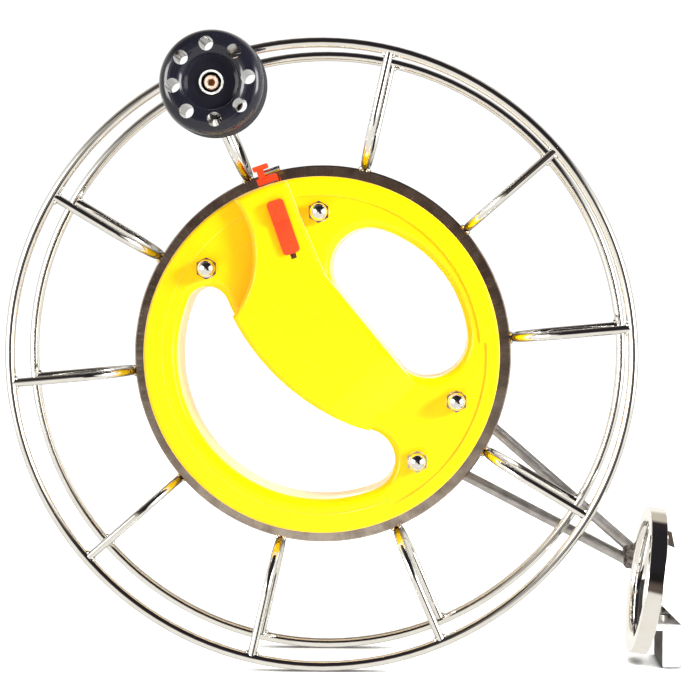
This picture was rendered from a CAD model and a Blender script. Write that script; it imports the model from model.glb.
from math import cos, pi, radians, sin
from random import Random

import bmesh
import bpy
from mathutils import Euler, Matrix, Vector, noise


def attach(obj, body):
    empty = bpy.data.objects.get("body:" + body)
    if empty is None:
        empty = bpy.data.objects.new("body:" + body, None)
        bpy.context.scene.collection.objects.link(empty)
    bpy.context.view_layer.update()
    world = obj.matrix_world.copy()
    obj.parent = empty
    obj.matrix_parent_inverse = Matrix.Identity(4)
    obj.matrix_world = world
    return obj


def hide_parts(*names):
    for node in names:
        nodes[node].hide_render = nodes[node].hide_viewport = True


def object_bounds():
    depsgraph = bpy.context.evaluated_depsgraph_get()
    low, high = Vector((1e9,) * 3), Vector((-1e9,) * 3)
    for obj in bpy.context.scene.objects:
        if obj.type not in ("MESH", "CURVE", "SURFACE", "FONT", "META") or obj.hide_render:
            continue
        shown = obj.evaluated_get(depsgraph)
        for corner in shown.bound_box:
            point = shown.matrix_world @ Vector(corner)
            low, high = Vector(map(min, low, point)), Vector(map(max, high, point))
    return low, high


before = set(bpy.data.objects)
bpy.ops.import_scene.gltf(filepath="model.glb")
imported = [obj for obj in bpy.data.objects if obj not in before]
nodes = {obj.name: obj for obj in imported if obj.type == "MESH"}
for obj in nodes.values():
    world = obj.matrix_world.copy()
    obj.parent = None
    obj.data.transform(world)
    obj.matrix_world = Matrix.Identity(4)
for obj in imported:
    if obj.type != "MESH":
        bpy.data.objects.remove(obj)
cad_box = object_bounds()
scene = bpy.context.scene
MM = 0.001

# Sizes and places that follow the CAD model, in metres and radians. Angles round the wheel are
# measured from straight up towards +X.
rim_radius = 128 * MM
rim_half = 25 * MM
race_radius = 79.2 * MM
race_half = 6 * MM
spoke_angles = [radians(12.9 + 36 * number) for number in range(10)]
knob_radius = 117.2 * MM
knob_angle = radians(-20.8)
knob_axis = Vector((knob_radius * sin(knob_angle), 0, knob_radius * cos(knob_angle)))
ring_centre = Vector((136.6, 0, -95.5)) * MM
ring_lean = radians(8)
ring_outer = 31 * MM
ring_bore = 24 * MM
ring_width = 6.9 * MM

# ---------------------------------------------------------------- camera
camera_place = Vector((42.12, -805.45, 33.41)) * MM
camera_left = radians(2.181)
camera_down = radians(2.262)
camera_data = bpy.data.cameras.new("camera")
camera_data.sensor_width = 36.0
camera_data.lens = 98.08
camera_data.clip_start = 0.05
camera = bpy.data.objects.new("camera", camera_data)
camera.location = camera_place
camera.rotation_euler = Euler((radians(90) - camera_down, 0, camera_left))
scene.collection.objects.link(camera)
scene.camera = camera
scene.view_settings.view_transform = "Standard"


# ---------------------------------------------------------------- node trees
def shade(red, green, blue):
    """A colour given as it shows on a screen, 0 to 255, as the linear values a shader takes."""
    values = []
    for part in (red, green, blue):
        part = part / 255
        values.append(part / 12.92 if part <= 0.04045 else ((part + 0.055) / 1.055) ** 2.4)
    return (*values, 1.0)


def grey(value):
    return (value, value, value, 1.0)


class Tree:
    """A material or world being wired: each call adds one or more nodes and joins their inputs."""

    def __init__(self, owner):
        owner.use_nodes = True
        self.owner = owner
        self.tree = owner.node_tree
        self.tree.nodes.clear()

    def join(self, socket, value):
        if isinstance(value, bpy.types.NodeSocket):
            self.tree.links.new(value, socket)
        else:
            socket.default_value = value

    def add(self, kind, inputs=None, **settings):
        node = self.tree.nodes.new(kind)
        for key, value in settings.items():
            setattr(node, key, value)
        for key, value in (inputs or {}).items():
            self.join(node.inputs[key], value)
        return node

    def math(self, operation, first, second=0.0):
        node = self.add("ShaderNodeMath", operation=operation)
        self.join(node.inputs[0], first)
        self.join(node.inputs[1], second)
        return node.outputs[0]

    def split(self, vector):
        return self.add("ShaderNodeSeparateXYZ", {"Vector": vector}).outputs

    def hypotenuse(self, first, second):
        squares = self.math("MULTIPLY", first, first), self.math("MULTIPLY", second, second)
        return self.math("SQRT", self.math("ADD", *squares))

    def step(self, value, low, high, start=0.0, end=1.0):
        """value eased from start to end as it goes from low to high."""
        ends = {"Value": value, "From Min": low, "From Max": high, "To Min": start, "To Max": end}
        node = self.add("ShaderNodeMapRange", ends, interpolation_type="SMOOTHSTEP")
        return node.outputs["Result"]

    def blend(self, share, first, second):
        """The colour that goes from first to second as share goes from 0 to 1."""
        node = self.add("ShaderNodeMix", data_type="RGBA")
        self.join(node.inputs[0], share)
        self.join(node.inputs[6], first)
        self.join(node.inputs[7], second)
        return node.outputs[2]

    def grain(self, place, size, detail=2.0, stretch=(1, 1, 1)):
        """Smooth noise, 0 to 1, whose lumps are about size millimetres, or more along stretch."""
        scale = tuple(1 / (size * MM * part) for part in stretch)
        spot = self.add("ShaderNodeVectorMath", {0: place, 1: scale}, operation="MULTIPLY")
        inputs = {"Vector": spot.outputs[0], "Scale": 1.0, "Detail": detail}
        return self.add("ShaderNodeTexNoise", inputs).outputs["Fac"]

    def bump(self, height, depth):
        """The surface raised by up to depth millimetres where height is 1."""
        return self.add("ShaderNodeBump", {"Height": height, "Distance": depth * MM}).outputs["Normal"]

    def place(self):
        return self.add("ShaderNodeTexCoord").outputs["Object"]

    def from_knob_axis(self, place):
        """The distance from the line that the knob turns round."""
        offset = self.add("ShaderNodeVectorMath", {0: place, 1: knob_axis}, operation="SUBTRACT")
        x, _, z = self.split(offset.outputs[0])
        return self.hypotenuse(x, z)

    def finish(self, inputs):
        """The material, ended with one shader that takes these inputs."""
        surface = self.add("ShaderNodeBsdfPrincipled", inputs)
        self.add("ShaderNodeOutputMaterial", {"Surface": surface.outputs[0]})
        return self.owner


def material_tree(name):
    return Tree(bpy.data.materials.new(name))


# ---------------------------------------------------------------- surroundings
# What polished metal mirrors is a room round the object, given by direction in degrees. turn is 0
# at the front and grows to the right, height is 0 when level, and aside is the turn away from the
# room's middle. There is a white table, a screen with a lamp on it at either side of the camera, a
# dim gap between the screens with the camera in it, a dark ceiling, and a pale wall behind.
room_middle = 8.0

gap_edge = (17, 31)
gap_skew = 0.5
gap_foot_turn = (4, 12)
gap_foot_height = (-5.0, -24.0)
gap_foot_blur = (-4, 3)
gap_dark = (0.016, 0.014, 0.015, 1)
lens_turn = -3.0
lens_height = -2.5
lens_edge = (9, 17)
lens_dim = (0.14, 0.108, 0.094, 1)

screen_start = (30, 50)
screen_foot = (-25, 0)
screen_top_aside = (25, 70)
screen_top_height = (17.0, 33.0)
screen_white = (1.06, 1.05, 1.0, 1)
table_white = (0.91, 0.885, 0.83, 1)
lamp_aside = (40, 48, 66, 76)
lamp_height = (-12, -4, 16, 24)
lamp_white = grey(13.0)

ceiling_edge = (-6, 8)
ceiling_turn = (-95, -15)
ceiling_left = (0.15, 0.125, 0.1, 1)
ceiling_right = (0.022, 0.02, 0.025, 1)
wall_aside = (75, 135)
wall_top = (57, 65)
wall_pale = (0.62, 0.57, 0.5, 1)
wall_dark = (0.03, 0.026, 0.03, 1)

# What lights dull surfaces, at the left and at the right, and what the camera sees past the floor.
soft_left = grey(0.36)
soft_right = grey(0.52)
background_white = grey(1.05)


def inside(t, value, edges):
    """1 between the two middle edges, eased to 0 at the outer ones."""
    low, full_low, full_high, high = edges
    return t.math("MULTIPLY", t.step(value, low, full_low), t.step(value, full_high, high, 1.0, 0.0))


def camera_gap(t, turn, height):
    """Where the gap is, which slants to the right below the horizon, and its colour."""
    slant = t.math("MULTIPLY", t.math("MINIMUM", height, 0.0), gap_skew)
    from_middle = t.math("SUBTRACT", turn, t.math("SUBTRACT", room_middle, slant))
    across = t.step(t.math("ABSOLUTE", from_middle), *gap_edge, 1.0, 0.0)
    foot = t.step(turn, *gap_foot_turn, *gap_foot_height)
    share = t.math("MULTIPLY", across, t.step(t.math("SUBTRACT", height, foot), *gap_foot_blur))
    sideways = t.math("SUBTRACT", turn, lens_turn)
    upward = t.math("SUBTRACT", height, lens_height)
    colour = t.blend(t.step(t.hypotenuse(sideways, upward), *lens_edge), lens_dim, gap_dark)
    return share, colour


def screens_and_table(t, aside, height):
    screens = t.math("MULTIPLY", t.step(aside, *screen_start), t.step(height, *screen_foot))
    white = t.blend(screens, table_white, screen_white)
    lamps = t.math("MULTIPLY", inside(t, aside, lamp_aside), inside(t, height, lamp_height))
    return t.blend(lamps, white, lamp_white)


def ceiling(t, turn, aside, height):
    """Where the ceiling and the wall behind the object are, and their colour."""
    screen_top = t.step(aside, *screen_top_aside, *screen_top_height)
    share = t.step(t.math("SUBTRACT", height, screen_top), *ceiling_edge)
    front = t.blend(t.step(turn, *ceiling_turn), ceiling_left, ceiling_right)
    wall = t.blend(t.step(height, *wall_top), wall_pale, wall_dark)
    return share, t.blend(t.step(aside, *wall_aside), front, wall)


def studio_room():
    world = bpy.data.worlds.new("studio")
    scene.world = world
    world.cycles.sampling_method = "NONE"
    t = Tree(world)
    x, y, z = t.split(t.add("ShaderNodeTexCoord").outputs["Generated"])
    height = t.math("DEGREES", t.math("ARCSINE", z))
    turn = t.math("DEGREES", t.math("ARCTAN2", x, t.math("MULTIPLY", y, -1.0)))
    aside = t.math("ABSOLUTE", t.math("SUBTRACT", turn, room_middle))

    gap_share, gap_colour = camera_gap(t, turn, height)
    ceiling_share, ceiling_colour = ceiling(t, turn, aside, height)
    mirrored = t.blend(gap_share, screens_and_table(t, aside, height), gap_colour)
    mirrored = t.blend(ceiling_share, mirrored, ceiling_colour)

    rays = t.add("ShaderNodeLightPath").outputs
    light = t.blend(t.step(x, -1, 1), soft_left, soft_right)
    light = t.blend(rays["Is Glossy Ray"], light, mirrored)
    light = t.blend(rays["Is Camera Ray"], light, background_white)
    sky = t.add("ShaderNodeBackground", {"Color": light, "Strength": 1.0})
    t.add("ShaderNodeOutputWorld", {"Surface": sky.outputs[0]})


def area_light(name, place, size, power):
    """A square light in metres and watts that points at the wheel's centre and isn't mirrored."""
    data = bpy.data.lights.new(name, "AREA")
    data.shape = "SQUARE"
    data.size = size
    data.energy = power
    light = bpy.data.objects.new(name, data)
    light.location = place
    light.rotation_euler = (-Vector(place)).to_track_quat("-Z", "Y").to_euler()
    light.visible_glossy = False
    scene.collection.objects.link(light)


def white_floor():
    """A white floor, lifted to plain white away from the object, dark only where something touches it."""
    reach = 8.0
    ground = cad_box[0][2]
    contact_reach = 6 * MM
    contact_edge = (0.45, 0.85)
    contact_grey = grey(0.2)
    paper_white = grey(0.95)
    lift_distance = (0.25, 0.9)
    lift_strength = (0.35, 0.75)

    mesh = bpy.data.meshes.new("floor")
    corners = [(x * reach, y * reach, ground) for x, y in ((-1, -1), (1, -1), (1, 1), (-1, 1))]
    mesh.from_pydata(corners, [], [(0, 1, 2, 3)])
    floor = bpy.data.objects.new("floor", mesh)
    scene.collection.objects.link(floor)
    t = material_tree("floor_white")
    shaded = t.add("ShaderNodeAmbientOcclusion", {"Distance": contact_reach}, samples=8)
    clear = t.step(shaded.outputs["AO"], *contact_edge)
    paper = t.add("ShaderNodeBsdfDiffuse", {"Color": t.blend(clear, contact_grey, paper_white)})
    away = t.add("ShaderNodeVectorMath", {0: t.place()}, operation="LENGTH").outputs["Value"]
    glow = t.math("MULTIPLY", t.step(away, *lift_distance, *lift_strength), clear)
    lift = t.add("ShaderNodeEmission", {"Color": grey(1.0), "Strength": glow})
    both = t.add("ShaderNodeAddShader", {0: paper.outputs[0], 1: lift.outputs[0]})
    t.add("ShaderNodeOutputMaterial", {"Surface": both.outputs[0]})
    mesh.materials.append(t.owner)
    floor.visible_glossy = False


studio_room()
area_light("light_right", (1.2, -0.7, 0.4), 0.35, 26)
area_light("light_left", (-0.8, -1.0, 0.6), 0.6, 1.0)
area_light("light_top", (0.15, -0.35, 1.5), 0.5, 14)
area_light("light_back", (-0.6, 1.3, 0.5), 0.6, 18)
white_floor()

# ---------------------------------------------------------------- materials
# The noise values between which a finish goes from one of its looks to the other.
wide = (0.25, 0.75)
usual = (0.3, 0.75)
even = (0.3, 0.7)
cloudy = (0.35, 0.7)
sharp = (0.35, 0.65)


def polished(name, bright, dull, rough, ripple=0.004, edge=grey(1.0)):
    """Bright metal: faint clouding, fine wiping marks and a slow ripple in its mirror."""
    t = material_tree(name)
    place = t.place()
    cloud = t.step(t.grain(place, 9, 4), *cloudy)
    marks = t.grain(place, 0.5, 3, (1, 4, 1))
    waves = t.grain(place, 5, 1)
    return t.finish({
        "Base Color": t.blend(cloud, bright, dull),
        "Metallic": 1.0,
        "Specular Tint": edge,
        "Roughness": t.step(marks, *usual, rough * 0.7, rough * 1.5),
        "Normal": t.bump(waves, ripple),
    })


def brushed(name, bright, dull, rough, stretch, depth=0.004):
    """Ground or drawn metal: fine lines along the way that it was worked."""
    t = material_tree(name)
    place = t.place()
    lines = t.grain(place, 0.25, 3, stretch)
    cloud = t.step(t.grain(place, 6, 4), *even)
    return t.finish({
        "Base Color": t.blend(cloud, bright, dull),
        "Metallic": 1.0,
        "Roughness": t.step(lines, *wide, rough * 0.75, rough * 1.3),
        "Normal": t.bump(lines, depth),
    })


def slider_plastic(name):
    """The red moulding: a slight flow of colour, and a fine skin that breaks up the gloss."""
    t = material_tree(name)
    place = t.place()
    flow = t.step(t.grain(place, 14, 3), *usual)
    wear = t.grain(place, 3, 4)
    return t.finish({
        "Base Color": t.blend(flow, (0.72, 0.055, 0.008, 1), (0.62, 0.04, 0.006, 1)),
        "Roughness": t.step(wear, *usual, 0.255, 0.36),
        "IOR": 1.45,
        "Normal": t.bump(t.grain(place, 0.35, 2), 0.01),
    })


def ground_race(name):
    """The bearing's faces: dark ground steel with faint streaks out from its centre."""
    streak_radius = 0.08  # turns an angle into a length along the race, near its own radius
    t = material_tree(name)
    x, y, z = t.split(t.place())
    along = t.math("MULTIPLY", t.math("ARCTAN2", x, z), streak_radius)
    spot = t.add("ShaderNodeCombineXYZ", {"X": along, "Y": t.hypotenuse(x, z), "Z": y})
    streaks = t.grain(spot.outputs[0], 0.9, 4, (1, 6, 4))
    cloud = t.step(t.grain(t.place(), 8, 3), *even)
    return t.finish({
        "Base Color": t.blend(cloud, shade(205, 192, 178), shade(165, 150, 138)),
        "Metallic": 1.0,
        "Roughness": t.step(streaks, *even, 0.09, 0.17),
        "Normal": t.bump(streaks, 0.0012),
    })


def shell_plastic(name):
    """The yellow moulding, with a pale sheen on its walls. Metal far from it mirrors it paler."""
    far_distance = (0.025, 0.045)
    far_cream = (0.75, 0.68, 0.58, 1)
    far_share = 0.85
    t = material_tree(name)
    place = t.place()
    flow = t.step(t.grain(place, 14, 3), *usual)
    yellow = t.blend(flow, (1.0, 0.595, 0.0, 1), (1.0, 0.57, 0.0, 1))
    rays = t.add("ShaderNodeLightPath").outputs
    far = t.math("MULTIPLY", rays["Is Glossy Ray"], t.step(rays["Ray Length"], *far_distance))
    return t.finish({
        "Base Color": t.blend(t.math("MULTIPLY", far, far_share), yellow, far_cream),
        "Roughness": t.step(t.grain(place, 3, 4), *usual, 0.2, 0.28),
        "IOR": 1.33,
        "Sheen Weight": 1.0,
        "Sheen Roughness": 0.22,
        "Subsurface Weight": 0.15,
        "Subsurface Radius": (1.0, 0.6, 0.1),
        "Subsurface Scale": 0.004,
        "Normal": t.bump(t.grain(place, 0.35, 2), 0.003),
    })


def knob_plastic(name):
    """The knob's gloss, worn dull round its side where fingers hold it."""
    side = (20.7 * MM, 21.0 * MM)
    side_roughness = 0.9
    t = material_tree(name)
    place = t.place()
    held = t.step(t.from_knob_axis(place), *side)
    flow = t.grain(place, 8, 3)
    gloss = t.step(t.grain(place, 2, 4), *usual, 0.08, 0.14)
    return t.finish({
        "Base Color": t.blend(flow, (0.008, 0.008, 0.014, 1), (0.013, 0.013, 0.02, 1)),
        "Roughness": t.math("MAXIMUM", gloss, t.math("MULTIPLY", held, side_roughness)),
        "IOR": 1.5,
        "Normal": t.bump(t.grain(place, 0.4, 2), 0.0008),
    })


def knob_fitting(name, bright, dull, dark, dark_radius):
    """Turned metal on the knob's axle, dark with old grease within a radius in millimetres."""
    blur = 0.15
    rough = 0.62
    t = material_tree(name)
    place = t.place()
    edges = (dark_radius * MM, (dark_radius + blur) * MM)
    greasy = t.step(t.from_knob_axis(place), *edges, 1.0, 0.0)
    metal = t.blend(t.grain(place, 2, 4), bright, dull)
    lines = t.grain(place, 0.2, 2, (1, 5, 1))
    return t.finish({
        "Base Color": t.blend(greasy, metal, dark),
        "Metallic": 1.0,
        "Roughness": t.step(lines, *wide, rough * 0.8, rough * 1.2),
        "Normal": t.bump(lines, 0.001),
    })


def cast_block(name):
    """The rough dark casting that joins the two rods."""
    t = material_tree(name)
    pits = t.grain(t.place(), 1.3, 4)
    return t.finish({
        "Base Color": t.blend(t.step(pits, *sharp), shade(70, 62, 60), shade(150, 142, 138)),
        "Metallic": 1.0,
        "Roughness": t.step(pits, *even, 0.5, 0.3),
        "Normal": t.bump(pits, 0.15),
    })


def plated_foot(name):
    """The foot's satin white plating, worn grey on its edges and dark on the faces towards -X."""
    dark_facing = (-0.7, -0.4)
    edge_width = 0.45 * MM
    edge_sharpness = (0.85, 0.99)
    edge_share = 0.75
    edge_grey = (0.22, 0.22, 0.23, 1)
    t = material_tree(name)
    place = t.place()
    facing = t.split(t.add("ShaderNodeTexCoord").outputs["Normal"])[0]
    cut = t.step(facing, *dark_facing, 1.0, 0.0)
    rounded = t.add("ShaderNodeBevel", {"Radius": edge_width}, samples=6).outputs["Normal"]
    flat = t.add("ShaderNodeNewGeometry").outputs["Normal"]
    alike = t.add("ShaderNodeVectorMath", {0: rounded, 1: flat}, operation="DOT_PRODUCT")
    edge = t.step(alike.outputs["Value"], *edge_sharpness, edge_share, 0.0)
    cloud = t.step(t.grain(place, 3, 4), *even)
    plate = t.blend(edge, t.blend(cloud, grey(0.86), grey(0.8)), edge_grey)
    dark = t.blend(cloud, (0.045, 0.043, 0.042, 1), (0.075, 0.072, 0.07, 1))
    satin = t.step(t.grain(place, 0.6, 3), *even, 0.25, 0.4)
    return t.finish({
        "Base Color": t.blend(cut, plate, dark),
        "Roughness": t.math("MAXIMUM", satin, cut),
        "IOR": 1.6,
        "Normal": t.bump(t.grain(place, 0.5, 2), 0.002),
    })


# Finishes that take only colours, roughness and depths. A colour is the bright one, then the dull
# one. A brushed finish's stretch is how much longer its lines are along X, Y and Z.
chrome_bright = (0.92, 0.91, 0.88, 1)
chrome_dull = (0.86, 0.84, 0.79, 1)
chrome_edge = (0.12, 0.11, 0.1, 1)
ring_bright = (0.92, 0.9, 0.86, 1)
ring_dull = (0.87, 0.84, 0.79, 1)
zinc_bright = (0.9, 0.89, 0.86, 1)
zinc_dull = (0.82, 0.8, 0.76, 1)
cage_colours = shade(180, 175, 170), shade(150, 146, 140)
bar_colours = shade(205, 205, 205), shade(175, 175, 175)
spring_colours = shade(150, 150, 158), shade(120, 120, 128)
rod_colours = shade(196, 192, 190), shade(170, 165, 163)
bush_colours = shade(255, 253, 250), shade(240, 238, 234), shade(40, 36, 36)
brass_colours = shade(255, 236, 220), shade(250, 217, 195), shade(120, 82, 50)
bush_gap_radius = 3.95
screw_socket_radius = 1.3

paints = {
    "shell_yellow": shell_plastic("shell_yellow"),
    "chrome_wire": polished("chrome_wire", chrome_bright, chrome_dull, 0.05, 0.008, chrome_edge),
    "race_steel": ground_race("race_steel"),
    "ball_steel": polished("ball_steel", grey(0.85), grey(0.78), 0.06),
    "cage_steel": brushed("cage_steel", *cage_colours, 0.3, (1, 6, 1)),
    "zinc_fastener": polished("zinc_fastener", zinc_bright, zinc_dull, 0.08, 0.002),
    "knob_navy": knob_plastic("knob_navy"),
    "bush_steel": knob_fitting("bush_steel", *bush_colours, bush_gap_radius),
    "brass_screw": knob_fitting("brass_screw", *brass_colours, screw_socket_radius),
    "lock_red": slider_plastic("lock_red"),
    "lock_steel": brushed("lock_steel", *bar_colours, 0.2, (1, 1, 6)),
    "spring_steel": brushed("spring_steel", *spring_colours, 0.25, (1, 1, 6)),
    "arm_steel": brushed("arm_steel", *rod_colours, 0.36, (3, 3, 3), 0.001),
    "guide_chrome": polished("guide_chrome", ring_bright, ring_dull, 0.05, 0.002),
    "foot_steel": plated_foot("foot_steel"),
}
for node in nodes.values():
    for holder in node.material_slots:
        slot = holder.material.name.split(".")[0]
        holder.material = paints[slot]

block_paint = cast_block("arm_steel_cast")
for holder in nodes["arm_tip_block"].material_slots:
    holder.material = block_paint


# ---------------------------------------------------------------- guide ring
def turned_ring(name, outer, bore, width, outer_round, inner_round):
    """A ring of steel turned from its section, with crisp outer edges and a rounded bore."""
    corner_steps = 6
    round_steps = 288
    section = []
    corners = (
        (bore + inner_round, -width / 2 + inner_round, inner_round, 180),
        (outer - outer_round, -width / 2 + outer_round, outer_round, 270),
        (outer - outer_round, width / 2 - outer_round, outer_round, 0),
        (bore + inner_round, width / 2 - inner_round, inner_round, 90),
    )
    for radius, along, size, start in corners:
        for part in range(corner_steps + 1):
            turn = radians(start + 90 * part / corner_steps)
            section.append((radius + size * cos(turn), along + size * sin(turn)))
    form = bmesh.new()
    loops = []
    for number in range(round_steps):
        turn = 2 * pi * number / round_steps
        loops.append([form.verts.new((along, r * sin(turn), r * cos(turn))) for r, along in section])
    for near, far in zip(loops, loops[1:] + loops[:1]):
        for one, two, three, four in zip(near, near[1:] + near[:1], far[1:] + far[:1], far):
            form.faces.new((one, two, three, four)).smooth = True
    bmesh.ops.recalc_face_normals(form, faces=form.faces)
    mesh = bpy.data.meshes.new(name)
    form.to_mesh(mesh)
    form.free()
    ring = bpy.data.objects.new(name, mesh)
    scene.collection.objects.link(ring)
    flats = ring.modifiers.new("flats", "WEIGHTED_NORMAL")
    flats.keep_sharp = True
    return ring


guide_ring = turned_ring("guide_ring_turned", ring_outer, ring_bore, ring_width, 0.4 * MM, 2.6 * MM)
guide_ring.matrix_world = Matrix.Translation(ring_centre) @ Matrix.Rotation(ring_lean, 4, "Y")
guide_ring.data.materials.append(paints["guide_chrome"])
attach(guide_ring, "hub")
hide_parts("guide_ring")


# ---------------------------------------------------------------- weld beads
def bead(form, centre, along, across, sizes, dice):
    """A small uneven lump of weld metal, of sizes along its seam, across it and upright."""
    swelling = 0.22
    lumps = 1.8
    far = 50
    ball = bmesh.ops.create_icosphere(form, subdivisions=3, radius=1.0)["verts"]
    up = along.cross(across)
    shift = Vector((dice.uniform(0, far), dice.uniform(0, far), dice.uniform(0, far)))
    for vert in ball:
        swell = 1 + swelling * noise.noise(vert.co * lumps + shift)
        x, y, z = vert.co * swell
        vert.co = centre + along * x * sizes[0] + across * y * sizes[1] + up * z * sizes[2]


def weld_piece(name, places, sizes, seed):
    """One piece of beads, each at its centre with its seam's direction and the one across it."""
    dice = Random(seed)
    form = bmesh.new()
    for centre, along, across in places:
        bead(form, centre, along, across, sizes, dice)
    for face in form.faces:
        face.smooth = True
    mesh = bpy.data.meshes.new(name)
    form.to_mesh(mesh)
    form.free()
    mesh.materials.append(paints["chrome_wire"])
    welds = bpy.data.objects.new(name, mesh)
    scene.collection.objects.link(welds)
    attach(welds, "wheel")


def spoke_welds():
    """Beads beside each spoke's base near the race's edges, and beside its legs' ends on the rims."""
    race_bead = (2.0 * MM, 1.0 * MM, 0.8 * MM)
    race_bead_place = (race_radius + 0.35 * MM, 1.5 * MM, race_half - 1.6 * MM)
    rim_bead = (1.1 * MM, 0.8 * MM, 1.3 * MM)
    rim_bead_place = (rim_radius - 2.1 * MM, 1.7 * MM, rim_half)
    through = Vector((0, 1, 0))
    race_seams = []
    rim_seams = []
    for angle in spoke_angles:
        out = Vector((sin(angle), 0, cos(angle)))
        side = Vector((cos(angle), 0, -sin(angle)))
        for end in (-1, 1):
            for flank in (-1, 1):
                radius, beside, depth = race_bead_place
                race_seam = out * radius + side * flank * beside + through * end * depth
                race_seams.append((race_seam, through, side))
                radius, beside, depth = rim_bead_place
                rim_seam = out * radius + side * flank * beside + through * end * depth
                rim_seams.append((rim_seam, side, out))
    weld_piece("race_welds", race_seams, race_bead, 3)
    weld_piece("rim_welds", rim_seams, rim_bead, 5)


spoke_welds()
